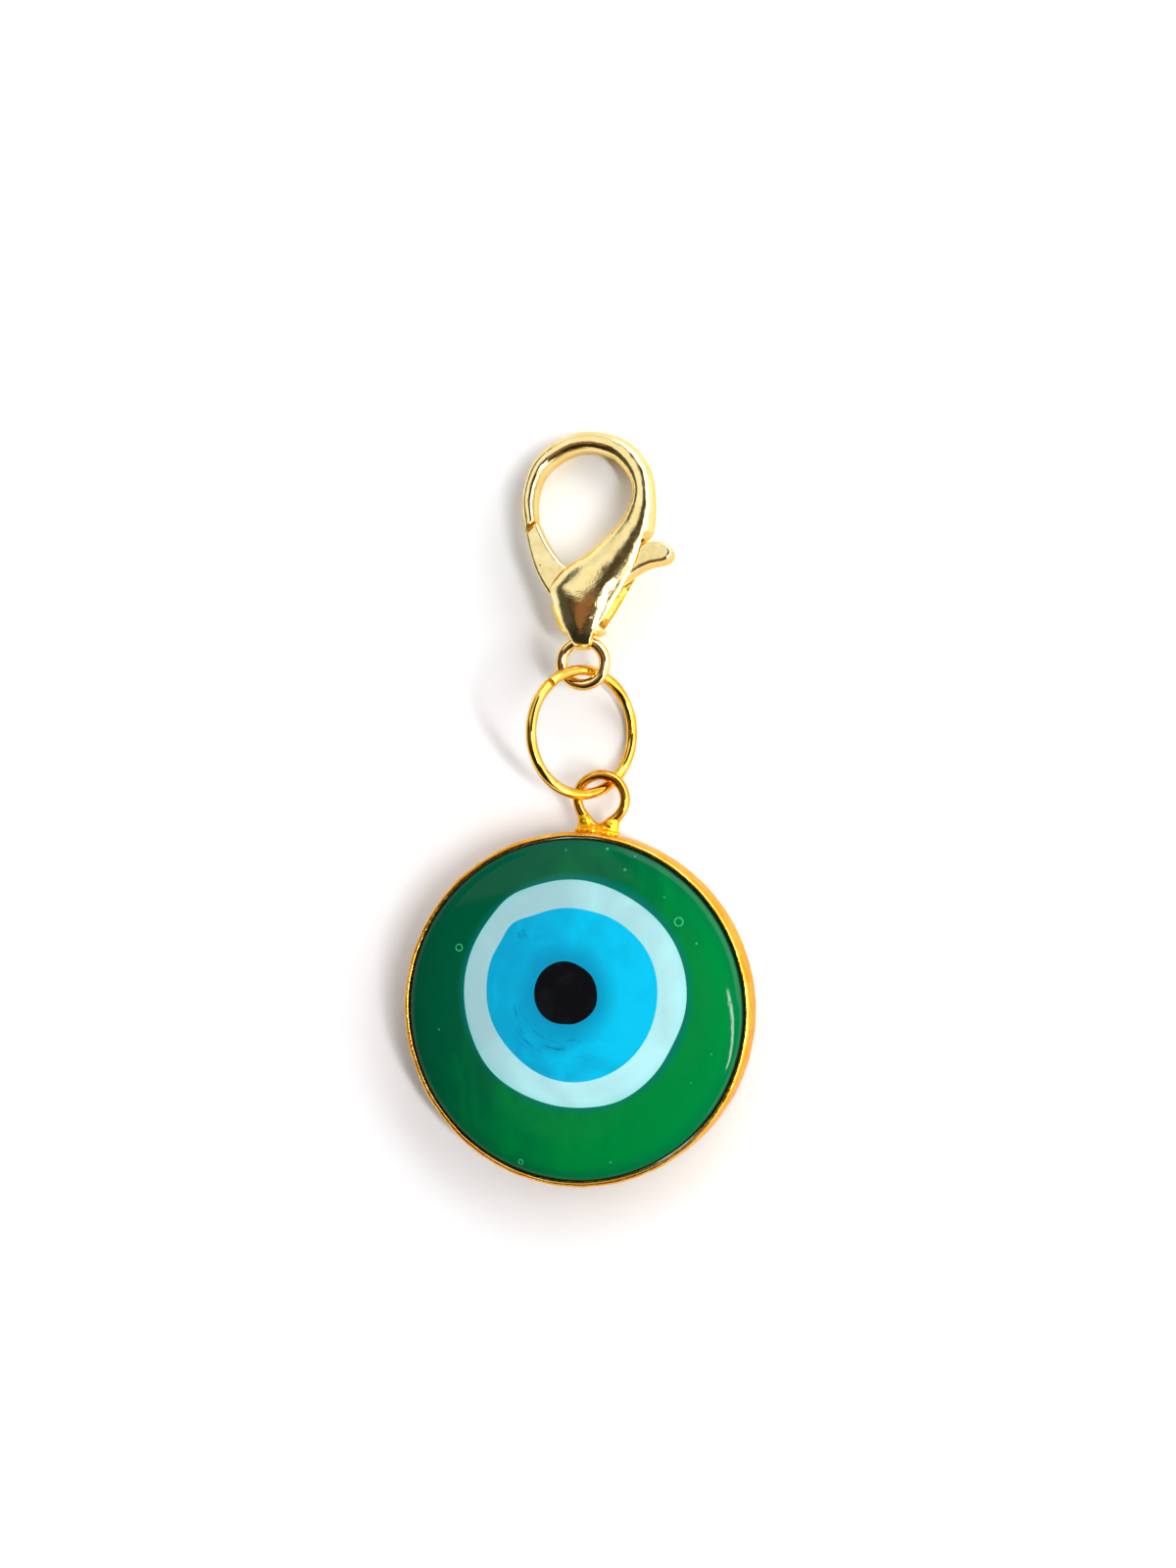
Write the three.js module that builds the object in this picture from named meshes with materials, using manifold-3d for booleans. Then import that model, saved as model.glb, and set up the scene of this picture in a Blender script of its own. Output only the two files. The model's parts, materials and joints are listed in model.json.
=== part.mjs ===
// An evil eye charm: a round glass eye in a metal strip, hung by two rings on a lobster clasp.
// Millimetres, +Z up. The charm lies on its back, with the clasp towards +Y.

import * as THREE from "three";
import { mergeVertices } from "three/addons/utils/BufferGeometryUtils.js";
import Module from "manifold-3d";

const wasm = await Module();
wasm.setup();

// ---- Driving dimensions ----------------------------------------------------

// Pendant. Its centre is the origin of the layout, and its back is at z = 0.
const GLASS_RADIUS = 14.5;
const GLASS_HEIGHT = 6.0;
const SHOULDER_Z = 4.4; // where the front of the glass starts to curve in
const BACK_EDGE_Z = 1.7; // where the back of the glass starts to curve in
const BACK_FLAT_RADIUS = 12.8;

const STRIP_RADIUS = 15.05;
const STRIP_WALL = 0.4;
const STRIP_BOTTOM = 1.3;
const STRIP_TOP = 4.75;
const LIP_REACH = 0.1; // how far each rolled lip turns in past the strip's wall
const LIP_EDGE = 0.15; // height of the lip's thin edge
const LIP_RISE = 0.45; // height of the whole lip, from the wall's inside to its edge
const STRIP_CORNER = 0.3; // how far the strip's outer corners are rounded off

// Glass let into the glass: each spot lies in the one before it, off centre.
const SPOTS = {
  white: { centre: [0.28, 1.5], radius: 9.6, depth: 2.6 },
  blue: { centre: [0.0, 1.35], radius: 7.34, depth: 1.7 },
  pupil: { centre: [-0.45, 1.5], radius: 2.7, depth: 1.0 },
};
const GLASS_GAP = 0.05;
const PAST = 1; // how far a cutting solid runs past the face that it cuts

// Rings.
const LOOP = { centre: [1.95, 17.8, 3.0], radius: 2.04, wire: 0.435 };
const JUMP_RING = { centre: [0.62, 23.41, 4.42], radius: 5.24, wire: 0.45, tilt: 49, seamAngle: 129 };
const CLASP_RING = { centre: [0.65, 29.3, 4.21], radius: 1.86, wire: 0.51 };
const SEAM_GAP_DEGREES = 1.5;
const SEAM_STEP = 0.1; // the two ends of the jump ring's wire don't quite line up

const SOLDER_RADII = [2.1, 0.85, 1.0];
const SOLDER_OUT = 0.45; // from the strip's face to the middle of the lump
const SOLDER_GAP = 0.08;

// Clasp, in its own frame: origin at the tail's hole, +y to the hook, +z out of its front.
const CLASP_PITCH = 10; // the tail is held up by the rings, so the hook's end rests below it
const PIN_Y = 3.75;
const PIN_RADIUS = 0.55;
const PIN_BACK = -2.0;
const PIN_FRONT = 1.65;
const PIN_CLEARANCE = 0.07;
const SLOT_HALF = 1.15;
const LEVER_HALF = 0.95;
const HUB_RADIUS = 2.2;
const HUB_ARC = [200, 332]; // the part of the hub's edge between the gate and the tab, in degrees
const TAIL_HOLE_RADIUS = 0.6;
const FLARE_TOP = 0.6; // the flare stops here, and the cheeks above it stay whole
const FLARE_STEP = 0.3;

// Stations along the clasp's body, from the tip of the hook round to the tail.
// Each has the outer edge, the inner edge, half the thickness, and the power of the rounded section.
const BODY = [
  { outer: [-5.35, 9.45], inner: [-4.3, 10.45], half: 1.15, power: 2.6 },
  { outer: [-5.75, 12.35], inner: [-4.45, 12.4], half: 1.2, power: 2.6 },
  { outer: [-4.95, 15.5], inner: [-3.8, 14.6], half: 1.2, power: 2.6 },
  { outer: [-2.8, 17.5], inner: [-1.95, 16.05], half: 1.2, power: 2.6 },
  { outer: [0.1, 18.2], inner: [0.0, 16.45], half: 1.2, power: 2.6 },
  { outer: [3.2, 17.35], inner: [2.05, 15.75], half: 1.22, power: 2.6 },
  { outer: [5.15, 15.2], inner: [3.5, 14.0], half: 1.25, power: 2.6 },
  { outer: [5.8, 12.4], inner: [3.8, 12.4], half: 1.3, power: 2.5 },
  { outer: [5.8, 10.05], inner: [3.15, 10.65], half: 1.4, power: 2.5 },
  { outer: [5.45, 8.2], inner: [1.9, 9.1], half: 1.6, power: 2.4 },
  { outer: [4.95, 6.6], inner: [0.1, 7.4], half: 1.9, power: 2.4 },
  { outer: [4.35, 5.1], inner: [-1.9, 6.15], half: 2.15, power: 2.3 },
  { outer: [3.65, 3.8], inner: [-3.1, 4.5], half: 2.25, power: 2.3 },
  { outer: [2.95, 2.5], inner: [-2.8, 3.0], half: 2.1, power: 2.3 },
  { outer: [2.3, 1.3], inner: [-2.25, 1.5], half: 1.75, power: 2.2 },
  { outer: [1.7, 0.35], inner: [-1.65, 0.4], half: 1.4, power: 2.2 },
  { outer: [1.15, -0.25], inner: [-1.1, -0.25], half: 1.1, power: 2.2 },
  { outer: [0.8, -0.62], inner: [-0.75, -0.62], half: 0.8, power: 2.2 },
  { outer: [0.3, -0.85], inner: [-0.3, -0.85], half: 0.45, power: 2.2 },
];
const CLEAR = 12; // longer than any cut through the clasp

// The slot between the cheeks, in plan: open on both sides, closed at the arm and at the tail.
const SLOT = [
  [-4.5, 3.5],
  [-2.9, 3.3],
  [-2.3, 2.75],
  [-1.5, 1.8],
  [-0.6, 1.35],
  [0.9, 1.35],
  [2.2, 0.7],
  [7.5, 0.7],
  [7.5, 10.2],
  [4.6, 8.75],
  [2.6, 7.2],
  [0.5, 7.1],
  [-0.6, 8.2],
  [-4.5, 8.2],
];

// The lever in plan, round from the gate's outer end: gate, hub, thumb tab.
const LEVER_ARM = [
  [-5.24, 9.32],
  [-4.75, 7.4],
  [-4.0, 5.5],
  [-3.0, 3.95],
];
const LEVER_TAB = [
  [3.2, 4.75],
  [4.6, 5.85],
  [5.8, 6.4],
  [7.1, 6.65],
  [7.55, 7.45],
  [7.0, 8.2],
  [5.6, 8.35],
  [4.6, 7.95],
  [3.2, 6.6],
  [1.9, 5.75],
];
const LEVER_INNER = [
  [0.2, 5.85],
  [-1.2, 6.1],
  [-2.3, 7.0],
  [-3.35, 8.5],
  [-4.24, 10.28],
];
const LEVER_BEVEL = 0.25;

// Spring round the pin, in a recess in the back of the lever's hub.
const SPRING = { wire: 0.12, radius: 1.1, turns: 1.5, low: -0.8, high: -0.32, legReach: 2.5, start: -100 };
const RECESS_RADIUS = 1.65;
const RECESS_FLOOR = -0.15;
const CHANNEL_WIDTH = 1.6; // the recess opens to the tail through this channel, which the leg swings in
const CHANNEL_ANGLE = 12;

// How finely the curved shapes are faceted.
const TURNED_SIDES = 48;
const BACK_STEPS = 3;
const DOME_STEPS = 7;
const BOWL_STEPS = 4;
const ROD_SIDES = 24;
const RECESS_SIDES = 32;
const STRIP_CUT_SIDES = 96;
const RING_STEPS = 36;
const RING_SIDES = 9;
const JUMP_STEPS = 56;
const JUMP_SIDES = 10;
const SOLDER_SIDES = 18;
const SOLDER_ROWS = 10;
const FLARE_STEPS = 6;
const BODY_STEPS = 46;
const BODY_SIDES = 20;
const ARM_STEPS = 8;
const HUB_STEPS = 10;
const TAB_STEPS = 36;
const CURVE_STEPS = 10;
const BEVEL_STEPS = 2;
const COIL_STEPS = 12; // in each turn of the spring
const SPRING_STEPS = 40;
const SPRING_SIDES = 6;

const PALE_GOLD = { color: 0xf3e0a4, roughness: 0.22, metalness: 1 };
const YELLOW_GOLD = { color: 0xe6b64a, roughness: 0.2, metalness: 1 };
const ORANGE_GOLD = { color: 0xe8a648, roughness: 0.38, metalness: 1 };
const STEEL = { color: 0xb9bcc0, roughness: 0.3, metalness: 1 };

// ---- Solids ----------------------------------------------------------------

// One closed mesh with shared vertices and no zero triangles, as solids and STEP faces need.
function closed(geometry) {
  const bare = geometry.clone();
  bare.deleteAttribute("normal");
  bare.deleteAttribute("uv");
  const merged = mergeVertices(bare, 1e-4);
  const index = merged.index.array;
  const kept = [];
  for (let i = 0; i < index.length; i += 3) {
    const [a, b, c] = [index[i], index[i + 1], index[i + 2]];
    if (a !== b && b !== c && c !== a) kept.push(a, b, c);
  }
  merged.setIndex(kept);
  return merged;
}

function solid(geometry) {
  const merged = closed(geometry);
  const vertProperties = Float32Array.from(merged.attributes.position.array);
  const triVerts = Uint32Array.from(merged.index.array);
  return new wasm.Manifold(new wasm.Mesh({ numProp: 3, vertProperties, triVerts }));
}

function geometryOf(manifold) {
  const mesh = manifold.getMesh();
  const geometry = new THREE.BufferGeometry();
  geometry.setAttribute("position", new THREE.BufferAttribute(Float32Array.from(mesh.vertProperties), 3));
  geometry.setIndex(Array.from(mesh.triVerts));
  return geometry;
}

// A profile of [radius, z] points, going up the outside, turned about the Z axis.
function turned(profile, sides = TURNED_SIDES) {
  const points = profile.map(([radius, z]) => new THREE.Vector2(radius, z));
  return new THREE.LatheGeometry(points, sides).rotateX(Math.PI / 2);
}

// A flat outline pulled up from z = low to z = high.
function slab(outline, low, high, bevel = 0) {
  const shape = outline instanceof THREE.Shape ? outline : shapeOf(outline);
  const options = {
    depth: high - low - 2 * bevel,
    bevelEnabled: bevel > 0,
    bevelThickness: bevel,
    bevelSize: bevel,
    bevelOffset: -bevel,
    bevelSegments: BEVEL_STEPS,
    curveSegments: CURVE_STEPS,
  };
  return new THREE.ExtrudeGeometry(shape, options).translate(0, 0, low + bevel);
}

function shapeOf(points) {
  return new THREE.Shape(points.map(([x, y]) => new THREE.Vector2(x, y)));
}

function rod(radius, low, high, sides = ROD_SIDES) {
  return new THREE.CylinderGeometry(radius, radius, high - low, sides)
    .rotateX(Math.PI / 2)
    .translate(0, 0, (low + high) / 2);
}

function wireAlong(path, radius, steps, sides) {
  const section = new THREE.Shape().absarc(0, 0, radius, 0, 2 * Math.PI, false);
  const options = { extrudePath: path, steps, curveSegments: sides / 2, bevelEnabled: false };
  return new THREE.ExtrudeGeometry(section, options);
}

// ---- Pendant ---------------------------------------------------------------

function glassProfile() {
  const back = [[0, 0]];
  for (let i = 0; i <= BACK_STEPS; i += 1) {
    const turn = (i / BACK_STEPS) * (Math.PI / 2);
    const radius = BACK_FLAT_RADIUS + (GLASS_RADIUS - BACK_FLAT_RADIUS) * Math.sin(turn);
    back.push([radius, BACK_EDGE_Z * (1 - Math.cos(turn))]);
  }
  const dome = [];
  for (let i = 0; i <= DOME_STEPS; i += 1) {
    const radius = GLASS_RADIUS * Math.sqrt(Math.max(0, Math.cos((i / DOME_STEPS) * (Math.PI / 2))));
    const rise = Math.sqrt(Math.max(0, 1 - (radius / GLASS_RADIUS) ** 4));
    dome.push([i === DOME_STEPS ? 0 : radius, SHOULDER_Z + (GLASS_HEIGHT - SHOULDER_Z) * rise]);
  }
  return [...back, ...dome];
}

// A drop of glass with a bowl-shaped underside, grown by a gap on all sides.
function spot({ centre, radius, depth }, gap = 0) {
  const bowl = [];
  const reach = radius + gap;
  for (let i = 0; i <= BOWL_STEPS; i += 1) {
    const r = reach * Math.sin((i / BOWL_STEPS) * (Math.PI / 2));
    bowl.push([i === 0 ? 0 : r, GLASS_HEIGHT - gap - depth * Math.sqrt(Math.max(0, 1 - (r / reach) ** 4))]);
  }
  const above = GLASS_HEIGHT + PAST;
  const profile = [...bowl, [reach, above], [0, above]];
  return solid(turned(profile).translate(centre[0], centre[1], 0));
}

function glassPieces() {
  const whole = solid(turned(glassProfile()));
  const { white, blue, pupil } = SPOTS;
  return {
    glass_base: whole.subtract(spot(white, GLASS_GAP)),
    glass_white: whole.intersect(spot(white)).subtract(spot(blue, GLASS_GAP)),
    glass_blue: whole.intersect(spot(blue)).subtract(spot(pupil, GLASS_GAP)),
    glass_pupil: whole.intersect(spot(pupil)),
  };
}

// A thin strip round the glass with both edges rolled in over its shoulders.
function stripGeometry() {
  const wall = STRIP_RADIUS - STRIP_WALL;
  const lip = wall - LIP_REACH;
  const corner = STRIP_RADIUS - STRIP_CORNER;
  const profile = [
    [wall, STRIP_BOTTOM + LIP_RISE],
    [lip, STRIP_BOTTOM + LIP_EDGE],
    [lip, STRIP_BOTTOM],
    [corner, STRIP_BOTTOM],
    [STRIP_RADIUS, STRIP_BOTTOM + STRIP_CORNER],
    [STRIP_RADIUS, STRIP_TOP - STRIP_CORNER],
    [corner, STRIP_TOP],
    [lip, STRIP_TOP],
    [lip, STRIP_TOP - LIP_EDGE],
    [wall, STRIP_TOP - LIP_RISE],
    [wall, STRIP_BOTTOM + LIP_RISE],
  ];
  return turned(profile);
}

function ringGeometry({ radius, wire }) {
  return new THREE.TorusGeometry(radius, wire, RING_SIDES, RING_STEPS);
}

// Solder between the strip and the loop, drawn up round the loop's wire.
function solderSolid() {
  const [x, y, z] = LOOP.centre;
  const reach = Math.hypot(x, y);
  const foot = STRIP_RADIUS + SOLDER_OUT;
  const lump = new THREE.SphereGeometry(1, SOLDER_SIDES, SOLDER_ROWS)
    .scale(...SOLDER_RADII)
    .rotateZ(-Math.atan2(x, y))
    .translate((x / reach) * foot, (y / reach) * foot, z);
  const loop = ringGeometry({ radius: LOOP.radius, wire: LOOP.wire + SOLDER_GAP }).translate(x, y, z);
  const inside = rod(STRIP_RADIUS + SOLDER_GAP, -PAST, GLASS_HEIGHT + PAST, STRIP_CUT_SIDES);
  return solid(lump).subtract(solid(loop)).subtract(solid(inside));
}

// ---- Jump ring -------------------------------------------------------------

// One turn of wire whose ends meet at a cut, the second end a little off the first.
class OpenRing extends THREE.Curve {
  getPoint(t, target = new THREE.Vector3()) {
    const { radius, seamAngle } = JUMP_RING;
    const degrees = seamAngle + SEAM_GAP_DEGREES / 2 + t * (360 - SEAM_GAP_DEGREES);
    const angle = THREE.MathUtils.degToRad(degrees);
    return target.set(radius * Math.cos(angle), radius * Math.sin(angle), SEAM_STEP * (t - 0.5));
  }
}

// ---- Clasp -----------------------------------------------------------------

// A bar whose rounded section follows two rails: a unit cylinder moved into place.
function bar(stations, sides, steps) {
  const rail = (key) => new THREE.SplineCurve(stations.map((s) => new THREE.Vector2(...s[key])));
  const outer = rail("outer");
  const inner = rail("inner");
  const section = new THREE.SplineCurve(stations.map((s) => new THREE.Vector2(s.half, s.power)));
  const geometry = new THREE.CylinderGeometry(1, 1, 1, sides, steps);
  const position = geometry.attributes.position;
  const rounded = (value, power) => Math.sign(value) * Math.abs(value) ** (2 / power);
  for (let i = 0; i < position.count; i += 1) {
    const t = position.getY(i) + 0.5;
    const reach = Math.hypot(position.getX(i), position.getZ(i));
    const angle = Math.atan2(position.getZ(i), position.getX(i));
    const a = outer.getPoint(t);
    const b = inner.getPoint(t);
    const { x: half, y: power } = section.getPoint(t);
    const across = reach * rounded(Math.cos(angle), power) * 0.5;
    const up = reach * rounded(Math.sin(angle), power) * half;
    const x = (a.x + b.x) / 2 + (b.x - a.x) * across;
    const y = (a.y + b.y) / 2 + (b.y - a.y) * across;
    position.setXYZ(i, x, y, up);
  }
  return geometry;
}

// The tail's hole, across the clasp. It flares so that a curved ring can turn in it.
function tailHole() {
  const { radius } = CLASP_RING;
  const flare = [];
  for (let i = -FLARE_STEPS; i <= FLARE_STEPS; i += 1) {
    const x = i * FLARE_STEP;
    flare.push([TAIL_HOLE_RADIUS + radius - Math.sqrt(radius ** 2 - x * x), x]);
  }
  const end = flare[0][0];
  const profile = [[0, -CLEAR], [end, -CLEAR], ...flare, [end, CLEAR], [0, CLEAR]];
  const across = solid(turned(profile, ROD_SIDES).rotateY(Math.PI / 2));
  const below = new THREE.BoxGeometry(2 * CLEAR, 2 * CLEAR, 2 * CLEAR).translate(0, FLARE_TOP - CLEAR, 0);
  const straight = solid(rod(TAIL_HOLE_RADIUS, -CLEAR, CLEAR).rotateY(Math.PI / 2));
  return across.intersect(solid(below)).add(straight);
}

function claspBodySolid() {
  const pinHole = rod(PIN_RADIUS + PIN_CLEARANCE, -CLEAR, PIN_FRONT + PIN_CLEARANCE).translate(0, PIN_Y, 0);
  return solid(bar(BODY, BODY_SIDES, BODY_STEPS))
    .subtract(solid(slab(SLOT, -SLOT_HALF, SLOT_HALF)))
    .subtract(tailHole())
    .subtract(solid(pinHole));
}

function leverOutline() {
  const spline = (points) => new THREE.SplineCurve(points.map(([x, y]) => new THREE.Vector2(x, y)));
  const [start, end] = HUB_ARC.map(THREE.MathUtils.degToRad);
  const hub = new THREE.EllipseCurve(0, PIN_Y, HUB_RADIUS, HUB_RADIUS, start, end, false);
  const upper = spline([...LEVER_TAB, ...LEVER_INNER]);
  const points = [...spline(LEVER_ARM).getPoints(ARM_STEPS), ...hub.getPoints(HUB_STEPS)];
  return new THREE.Shape([...points, ...upper.getPoints(TAB_STEPS)]);
}

function leverSolid() {
  const pinHole = rod(PIN_RADIUS + PIN_CLEARANCE, -CLEAR, CLEAR).translate(0, PIN_Y, 0);
  const recess = rod(RECESS_RADIUS, -CLEAR, RECESS_FLOOR, RECESS_SIDES).translate(0, PIN_Y, 0);
  const channel = new THREE.BoxGeometry(CHANNEL_WIDTH, HUB_RADIUS, CLEAR)
    .translate(0, -HUB_RADIUS, RECESS_FLOOR - CLEAR / 2)
    .rotateZ(THREE.MathUtils.degToRad(CHANNEL_ANGLE))
    .translate(0, PIN_Y, 0);
  return solid(slab(leverOutline(), -LEVER_HALF, LEVER_HALF, LEVER_BEVEL))
    .subtract(solid(pinHole))
    .subtract(solid(recess))
    .subtract(solid(channel));
}

function springGeometry() {
  const { wire, radius, turns, low, high, legReach, start } = SPRING;
  const count = Math.round(turns * COIL_STEPS);
  const points = [new THREE.Vector3(0, -legReach, low)];
  for (let i = 0; i <= count; i += 1) {
    const angle = THREE.MathUtils.degToRad(start) + (i / COIL_STEPS) * 2 * Math.PI;
    const z = low + (i / count) * (high - low);
    points.push(new THREE.Vector3(radius * Math.cos(angle), radius * Math.sin(angle), z));
  }
  const path = new THREE.CatmullRomCurve3(points, false, "centripetal");
  return wireAlong(path, wire, SPRING_STEPS, SPRING_SIDES).translate(0, PIN_Y, 0);
}

// ---- Assembly --------------------------------------------------------------

function piece(name, shape, finish) {
  const geometry = shape instanceof THREE.BufferGeometry ? closed(shape) : geometryOf(shape);
  const mesh = new THREE.Mesh(geometry, new THREE.MeshStandardMaterial(finish));
  mesh.name = name;
  return mesh;
}

const clasp = new THREE.Group();
clasp.add(
  piece("clasp_body", claspBodySolid(), PALE_GOLD),
  piece("clasp_lever", leverSolid(), PALE_GOLD),
  piece("lever_pin", rod(PIN_RADIUS, PIN_BACK, PIN_FRONT).translate(0, PIN_Y, 0), PALE_GOLD),
  piece("lever_spring", springGeometry(), STEEL),
);
clasp.position.set(CLASP_RING.centre[0], CLASP_RING.centre[1] + CLASP_RING.radius, CLASP_RING.centre[2]);
clasp.rotation.x = -THREE.MathUtils.degToRad(CLASP_PITCH);

const claspRing = piece("clasp_ring", ringGeometry(CLASP_RING), YELLOW_GOLD);
claspRing.position.set(...CLASP_RING.centre);

const jumpWire = wireAlong(new OpenRing(), JUMP_RING.wire, JUMP_STEPS, JUMP_SIDES);
const jumpRing = piece("jump_ring", jumpWire, YELLOW_GOLD);
jumpRing.position.set(...JUMP_RING.centre);
jumpRing.rotation.y = THREE.MathUtils.degToRad(JUMP_RING.tilt);

const pendant = new THREE.Group();
const loop = piece("pendant_loop", ringGeometry(LOOP), ORANGE_GOLD);
loop.position.set(...LOOP.centre);
pendant.add(loop, piece("loop_solder", solderSolid(), ORANGE_GOLD));
pendant.add(piece("bezel_strip", stripGeometry(), ORANGE_GOLD));

const glassFinish = {
  glass_base: { color: 0x00702f, roughness: 0.06, metalness: 0 },
  glass_white: { color: 0xdff3f4, roughness: 0.08, metalness: 0 },
  glass_blue: { color: 0x00b4ec, roughness: 0.08, metalness: 0 },
  glass_pupil: { color: 0x05070c, roughness: 0.08, metalness: 0 },
};
for (const [name, shape] of Object.entries(glassPieces())) {
  pendant.add(piece(name, shape, glassFinish[name]));
}

// The part's own frame: origin at the middle of the bottom of its box.
const charm = new THREE.Group();
charm.add(clasp, claspRing, jumpRing, pendant);
const box = new THREE.Box3().setFromObject(charm, true);
const middle = box.getCenter(new THREE.Vector3());
charm.position.set(-middle.x, -middle.y, -box.min.z);

export default charm;
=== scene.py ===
"""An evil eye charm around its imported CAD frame: a glass eye in a brass strip, on a lobster clasp.

Shapes are built in millimetres, and placed in metres in the CAD frame.
"""

import json
import math

import bmesh
import bpy
import numpy as np
from mathutils import Matrix, Vector, noise


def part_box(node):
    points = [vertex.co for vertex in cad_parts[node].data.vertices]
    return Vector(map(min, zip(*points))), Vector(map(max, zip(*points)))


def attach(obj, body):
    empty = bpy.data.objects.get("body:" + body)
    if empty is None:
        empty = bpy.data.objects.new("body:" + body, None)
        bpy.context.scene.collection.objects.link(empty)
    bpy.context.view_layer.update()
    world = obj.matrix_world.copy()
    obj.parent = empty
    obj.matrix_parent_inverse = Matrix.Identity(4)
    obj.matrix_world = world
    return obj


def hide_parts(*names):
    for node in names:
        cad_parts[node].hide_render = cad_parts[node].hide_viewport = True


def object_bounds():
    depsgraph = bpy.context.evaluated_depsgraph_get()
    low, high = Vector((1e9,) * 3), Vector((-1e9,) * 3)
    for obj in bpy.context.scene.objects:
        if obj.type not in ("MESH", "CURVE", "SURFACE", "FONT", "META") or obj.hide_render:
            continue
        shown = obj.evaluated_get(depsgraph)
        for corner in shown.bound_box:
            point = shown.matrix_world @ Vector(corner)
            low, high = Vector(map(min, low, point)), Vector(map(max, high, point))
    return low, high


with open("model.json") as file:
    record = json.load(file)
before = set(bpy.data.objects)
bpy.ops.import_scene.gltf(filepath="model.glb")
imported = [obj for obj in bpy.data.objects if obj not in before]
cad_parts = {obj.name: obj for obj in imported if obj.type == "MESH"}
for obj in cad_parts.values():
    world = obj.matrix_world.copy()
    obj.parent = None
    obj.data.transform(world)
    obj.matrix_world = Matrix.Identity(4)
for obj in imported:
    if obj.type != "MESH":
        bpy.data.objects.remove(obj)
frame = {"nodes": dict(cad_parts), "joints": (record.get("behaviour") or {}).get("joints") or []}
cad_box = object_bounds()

MM = 0.001
UP = Vector((0, 0, 1))
TO_MM = Matrix.Scale(1 / MM, 4)
TO_METRES = Matrix.Scale(MM, 4)

# ---- Sizes, in millimetres ---------------------------------------------------

GLASS_RADIUS = 14.5
GLASS_HEIGHT = 6.0
SHOULDER_Z = 4.4  # where the glass's upright side meets its domed face
BACK_EDGE_Z = 1.7  # where the side meets the rounded edge of the flat back
BACK_FLAT_RADIUS = 12.8

# Each spot of glass has a hand-made outline, a circle with swells: (degrees, height, spread in degrees).
# Centres are from the pendant's centre.
WHITE = {
    "centre": (0.28, 1.5),
    "radius": 9.6,
    "depth": 2.6,
    "swells": [(125, 0.24, 11), (222, 0.24, 18), (293, 0.14, 13), (60, -0.28, 26), (333, -0.22, 15)],
}
BLUE = {
    "centre": (0.0, 1.35),
    "radius": 7.34,
    "depth": 1.7,
    "swells": [(25, 0.19, 26), (131, 0.46, 11), (155, 0.16, 14), (225, -0.25, 27), (78, -0.09, 12)],
}
PUPIL = {
    "centre": (-0.45, 1.5),
    "radius": 2.7,
    "depth": 1.0,
    "swells": [(60, -0.1, 22), (215, 0.07, 30), (268, -0.09, 16), (335, 0.1, 22)],
}

STRIP_RADIUS = 15.05
STRIP_INSIDE = 14.58
STRIP_BOTTOM = 1.3
STRIP_TOP = 4.75

WIRE_SIDES = 24

JUMP_RADIUS = 5.24
JUMP_WIRE = 0.45
JUMP_TILT = math.radians(49)
SEAM_ANGLE = math.radians(129)
SEAM_GAP = math.radians(1.2)
SEAM_STEP = 0.1  # between the wire's two ends, along the ring's axis
CUT_END = 0.93  # the wire's cut ends, as a share of its thickness

# How far the pendant's loop is drawn out where it meets the strip, and over how many degrees.
LOOP_DIP = 0.42
LOOP_DIP_SPREAD = 20

# The clasp in its own frame: origin at the tail's hole, +y to the hook, +z out of its front.
PIN_Y = 3.75
PIN_HOLE = 0.62
PIN_HOLE_TOP = 1.72
SLOT_HALF = 1.15
TAIL_HOLE = 0.6
FLARE_GAP = 0.05  # between the clasp ring and the rounded mouth of the tail's hole
FLARE_RADIUS = 3.0
FLARE_STEPS = 8  # to each side of the hole's middle
FLARE_SPACING = 0.15
CUT_REACH = 4.0  # how far a cutter reaches, well past the clasp's faces
# Stations from the hook's tip to the tail: outer edge, inner edge, half thickness, section's power.
BODY = [
    ((-5.35, 9.45), (-4.3, 10.45), 1.15, 2.6),
    ((-5.75, 12.35), (-4.45, 12.4), 1.2, 2.6),
    ((-4.95, 15.5), (-3.8, 14.6), 1.2, 2.6),
    ((-2.8, 17.5), (-1.95, 16.05), 1.2, 2.6),
    ((0.1, 18.2), (0.0, 16.45), 1.2, 2.6),
    ((3.2, 17.35), (2.05, 15.75), 1.22, 2.6),
    ((5.15, 15.2), (3.5, 14.0), 1.25, 2.6),
    ((5.8, 12.4), (3.8, 12.4), 1.3, 2.5),
    ((5.8, 10.05), (3.15, 10.65), 1.4, 2.5),
    ((5.45, 8.2), (1.9, 9.1), 1.6, 2.4),
    ((4.95, 6.6), (0.1, 7.4), 1.9, 2.4),
    ((4.35, 5.1), (-1.9, 6.15), 2.15, 2.3),
    ((3.65, 3.8), (-3.1, 4.5), 2.25, 2.3),
    ((2.95, 2.5), (-2.8, 3.0), 2.1, 2.3),
    ((2.3, 1.3), (-2.25, 1.5), 1.75, 2.2),
    ((1.7, 0.35), (-1.65, 0.4), 1.4, 2.2),
    ((1.3, -0.2), (-1.25, -0.2), 1.1, 2.3),
    ((1.08, -0.52), (-1.0, -0.52), 0.82, 2.4),
    ((0.75, -0.72), (-0.7, -0.72), 0.5, 2.4),
]
# The slot that the lever turns in, between the cheeks.
SLOT = [
    (-4.5, 3.5), (-2.9, 3.3), (-2.3, 2.75), (-1.5, 1.8), (-0.6, 1.35), (0.9, 1.35), (2.2, 0.7),
    (7.5, 0.7), (7.5, 10.2), (4.6, 8.75), (2.6, 7.2), (0.5, 7.1), (-0.6, 8.2), (-4.5, 8.2),
]
BODY_STEPS = 260
BODY_SIDES = 96
BODY_VOXEL = 0.075
LEVER_VOXEL = 0.055
SOLDER_VOXEL = 0.07

# ---- Places, from the frame ----------------------------------------------------

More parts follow.
